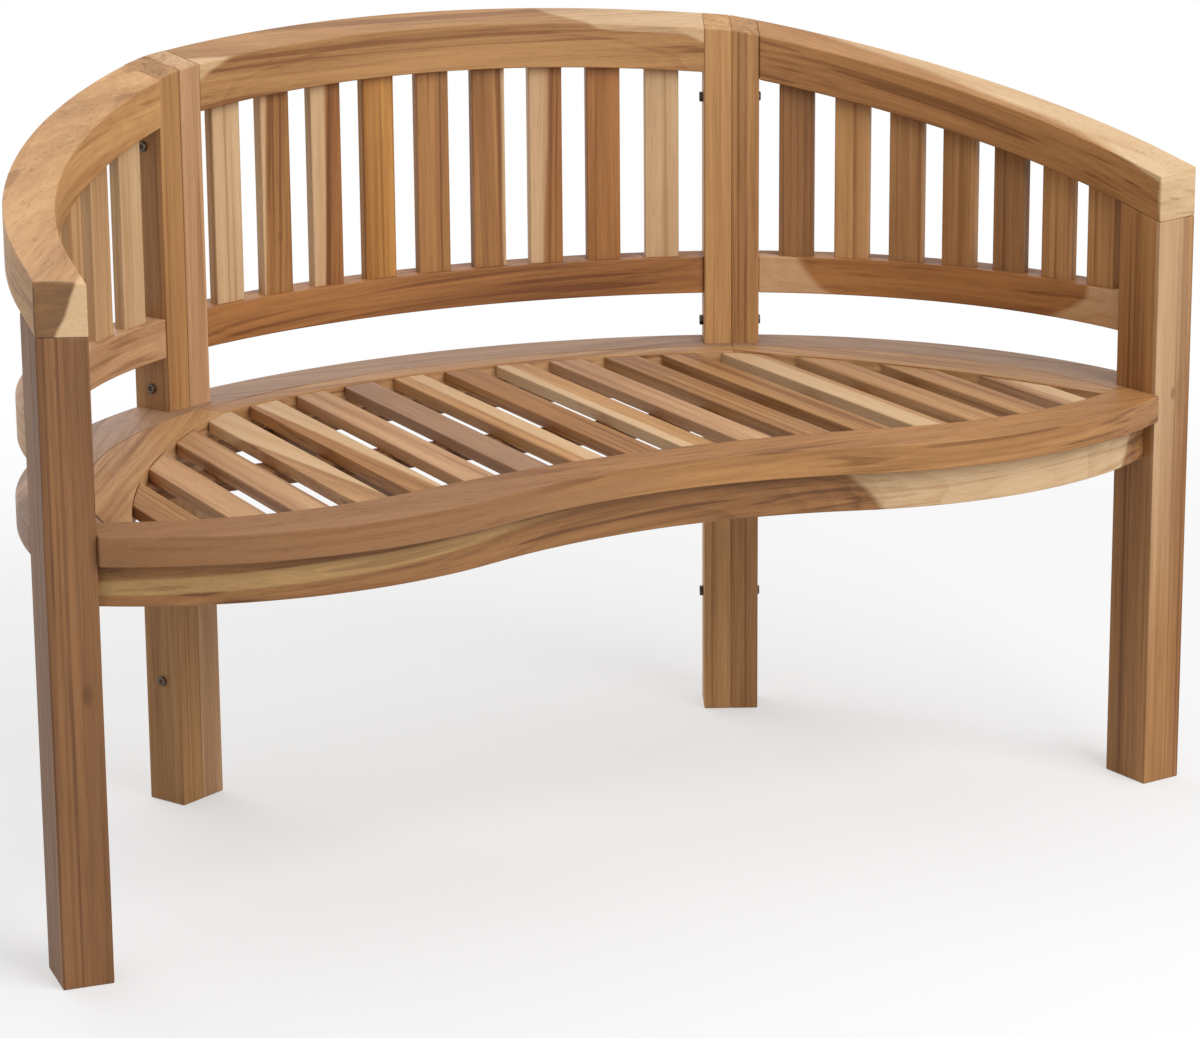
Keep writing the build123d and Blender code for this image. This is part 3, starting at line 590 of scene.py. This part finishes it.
def joinFaces():
    group, shape, result = shapeGroup("joinFaces")
    shape = {"Geometry": shape, "Distance": easing["join"]}
    shape = shapeStep(group, "GeometryNodeMergeByDistance", shape)[0]
    for name in ("custom_normal", "sharp_edge", "sharp_face"):
        shape = shapeStep(group, "GeometryNodeRemoveAttribute", {"Geometry": shape, "Name": name})[0]
    feed(group, shape, result)
    return group


def markArrises():
    group, shape, result = shapeGroup("markArrises")
    above = dict(operation="GREATER_THAN")
    onEdges = dict(data_type="FLOAT", domain="EDGE")
    onPoints = dict(data_type="FLOAT", domain="POINT")
    angle = group.nodes.new("GeometryNodeInputMeshEdgeAngle").outputs["Unsigned Angle"]
    sharp = shapeStep(group, "FunctionNodeCompare", {0: angle, 1: radians(easing["sharp"])}, **above)[0]
    smooth = shapeStep(group, "FunctionNodeBooleanMath", {0: sharp}, operation="NOT")[0]

    # wires of the sharp edges alone, each with the length of its network
    wires = {"Geometry": shape, "Selection": smooth}
    wires = shapeStep(group, "GeometryNodeDeleteGeometry", wires, domain="EDGE", mode="EDGE_FACE")[0]
    ends = group.nodes.new("GeometryNodeInputMeshEdgeVertices").outputs
    span = {0: ends["Position 1"], 1: ends["Position 2"]}
    span = shapeStep(group, "ShaderNodeVectorMath", span, operation="DISTANCE")["Value"]
    island = group.nodes.new("GeometryNodeInputMeshIsland").outputs["Island Index"]
    total = {0: span, "Group ID": island}
    total = shapeStep(group, "GeometryNodeAccumulateField", total, **onEdges)["Total"]
    wires = {"Geometry": wires, "Name": "network", "Value": total}
    wires = shapeStep(group, "GeometryNodeStoreNamedAttribute", wires, **onEdges)[0]

    # that length read back on the whole piece
    reach = {"Name": "network"}
    reach = shapeStep(group, "GeometryNodeInputNamedAttribute", reach, data_type="FLOAT")[0]
    reach = {"Geometry": wires, "Value": reach, "Index": ends["Vertex Index 1"]}
    reach = shapeStep(group, "GeometryNodeSampleIndex", reach, **onPoints)[0]
    far = shapeStep(group, "FunctionNodeCompare", {0: reach, 1: easing["network"]}, **above)[0]
    arris = shapeStep(group, "FunctionNodeBooleanMath", {0: sharp, 1: far}, operation="AND")[0]
    shape = {"Geometry": shape, "Name": "bevel_weight_edge", "Value": arris}
    feed(group, shapeStep(group, "GeometryNodeStoreNamedAttribute", shape, **onEdges)[0], result)
    return group


joinedFaces = joinFaces()
markedArrises = markArrises()


def easeEdges(name, width, whole=False):
    piece = nodes[name]
    piece.modifiers.new("joinedFaces", "NODES").node_group = joinedFaces
    flat = piece.modifiers.new("flatFaces", "DECIMATE")
    flat.decimate_type = "DISSOLVE"
    flat.angle_limit = radians(easing["flat"])
    if not whole:
        piece.modifiers.new("markedArrises", "NODES").node_group = markedArrises
    eased = piece.modifiers.new("easedEdges", "BEVEL")
    eased.width = width
    eased.segments = easing["segments"]
    eased.limit_method = "ANGLE" if whole else "WEIGHT"
    eased.angle_limit = radians(easing["sharp"])
    eased.use_clamp_overlap = not whole
    shading = piece.modifiers.new("evenShading", "WEIGHTED_NORMAL")
    shading.keep_sharp = True


fasteners = dict(post_bolts=easing["bolt"], post_nuts=easing["nut"])
unseen = ("seat_screws", "apron_dowels")
for name in nodes:
    if name in fasteners:
        easeEdges(name, fasteners[name], whole=True)
    elif name not in unseen:
        easeEdges(name, easing["board"])
print("edges eased")


# white for what the camera and reflections see of the surroundings
def seenDirectly(tree):
    rays = tree.nodes.new("ShaderNodeLightPath").outputs
    direct = calc(tree, "MAXIMUM", rays["Is Camera Ray"], rays["Is Glossy Ray"])
    return calc(tree, "MAXIMUM", direct, rays["Is Transmission Ray"])


# pale floor, lit near the bench and fading to plain white further out
floor = dict(size=30.0, bounce=0.6, colour=0.46, glow=0.46, near=1.0, far=2.2)


def paleCoat(tree, shade):
    node = tree.nodes.new("ShaderNodeBsdfDiffuse")
    node.inputs["Color"].default_value = (shade, shade, shade, 1)
    return node.outputs[0]


def mixShader(tree, factor, first, second):
    node = tree.nodes.new("ShaderNodeMixShader")
    for value, socket in zip((factor, first, second), node.inputs):
        tree.links.new(value, socket)
    return node.outputs[0]


def makeFloor():
    shape = bmesh.new()
    bmesh.ops.create_grid(shape, x_segments=1, y_segments=1, size=floor["size"])
    mesh = bpy.data.meshes.new("floor")
    shape.to_mesh(mesh)
    shape.free()
    piece = bpy.data.objects.new("floor", mesh)
    scene.collection.objects.link(piece)
    material = bpy.data.materials.new("paleFloor")
    material.use_nodes = True
    tree = material.node_tree
    tree.nodes.clear()
    place = tree.nodes.new("ShaderNodeTexCoord").outputs["Object"]
    away = smoothStep(tree, vectorCalc(tree, "LENGTH", place), floor["near"], floor["far"])
    glow = tree.nodes.new("ShaderNodeEmission")
    glow.inputs["Strength"].default_value = floor["glow"]
    shadowed = tree.nodes.new("ShaderNodeAddShader")
    tree.links.new(paleCoat(tree, floor["colour"]), shadowed.inputs[0])
    tree.links.new(glow.outputs[0], shadowed.inputs[1])
    white = tree.nodes.new("ShaderNodeEmission")
    seen = mixShader(tree, away, shadowed.outputs[0], white.outputs[0])
    final = mixShader(tree, seenDirectly(tree), paleCoat(tree, floor["bounce"]), seen)
    output = tree.nodes.new("ShaderNodeOutputMaterial")
    tree.links.new(final, output.inputs["Surface"])
    mesh.materials.append(material)


makeFloor()
print("floor laid")

# soft studio light
studio = dict(
    sky=0.5,
    overhead=dict(power=24.0, size=3.2, spot=(0, 0.3, 3.2), target=(0, 0, 0)),
    front=dict(power=96.0, size=2.6, spot=(0.9, -2.9, 2.5), target=(0, 0, 0.4)),
    rear=dict(power=36.0, size=2.6, spot=(-0.6, 3.1, 1.9), target=(0, 0, 0.4)),
)


def makeWorld():
    world = bpy.data.worlds.new("studio")
    scene.world = world
    world.use_nodes = True
    tree = world.node_tree
    back = tree.nodes["Background"]
    strength = tree.nodes.new("ShaderNodeMapRange")
    feed(tree, seenDirectly(tree), strength.inputs["Value"])
    strength.inputs["To Min"].default_value = studio["sky"]
    strength.inputs["To Max"].default_value = 1.0
    back.inputs["Color"].default_value = (1, 1, 1, 1)
    feed(tree, strength.outputs[0], back.inputs["Strength"])


def areaLight(name):
    look = studio[name]
    lamp = bpy.data.lights.new(name, "AREA")
    lamp.energy = look["power"]
    lamp.size = look["size"]
    piece = bpy.data.objects.new(name, lamp)
    piece.location = look["spot"]
    aim = Vector(look["target"]) - Vector(look["spot"])
    piece.rotation_euler = aim.to_track_quat("-Z", "Y").to_euler()
    scene.collection.objects.link(piece)


makeWorld()
areaLight("overhead")
areaLight("front")
areaLight("rear")
print("lights set")

# camera at the photo's angle
view = dict(
    spot=(-1.51195, -3.02986, 1.20045),
    yaw=27.31,
    pitch=12.99,
    roll=-0.42,
    lens=106.0,
    sensor=36.0,
    shift=-0.1,
)


def makeCamera():
    camera = bpy.data.cameras.new("photoView")
    camera.lens = view["lens"]
    camera.sensor_width = view["sensor"]
    camera.shift_y = view["shift"]
    piece = bpy.data.objects.new("photoView", camera)
    turn = Matrix.Rotation(-radians(view["yaw"]), 4, "Z")
    tip = Matrix.Rotation(radians(90 - view["pitch"]), 4, "X")  # an unturned camera looks straight down
    roll = Matrix.Rotation(radians(view["roll"]), 4, "Z")
    piece.matrix_world = Matrix.Translation(view["spot"]) @ turn @ tip @ roll
    scene.collection.objects.link(piece)
    scene.camera = piece


makeCamera()
print("camera set")
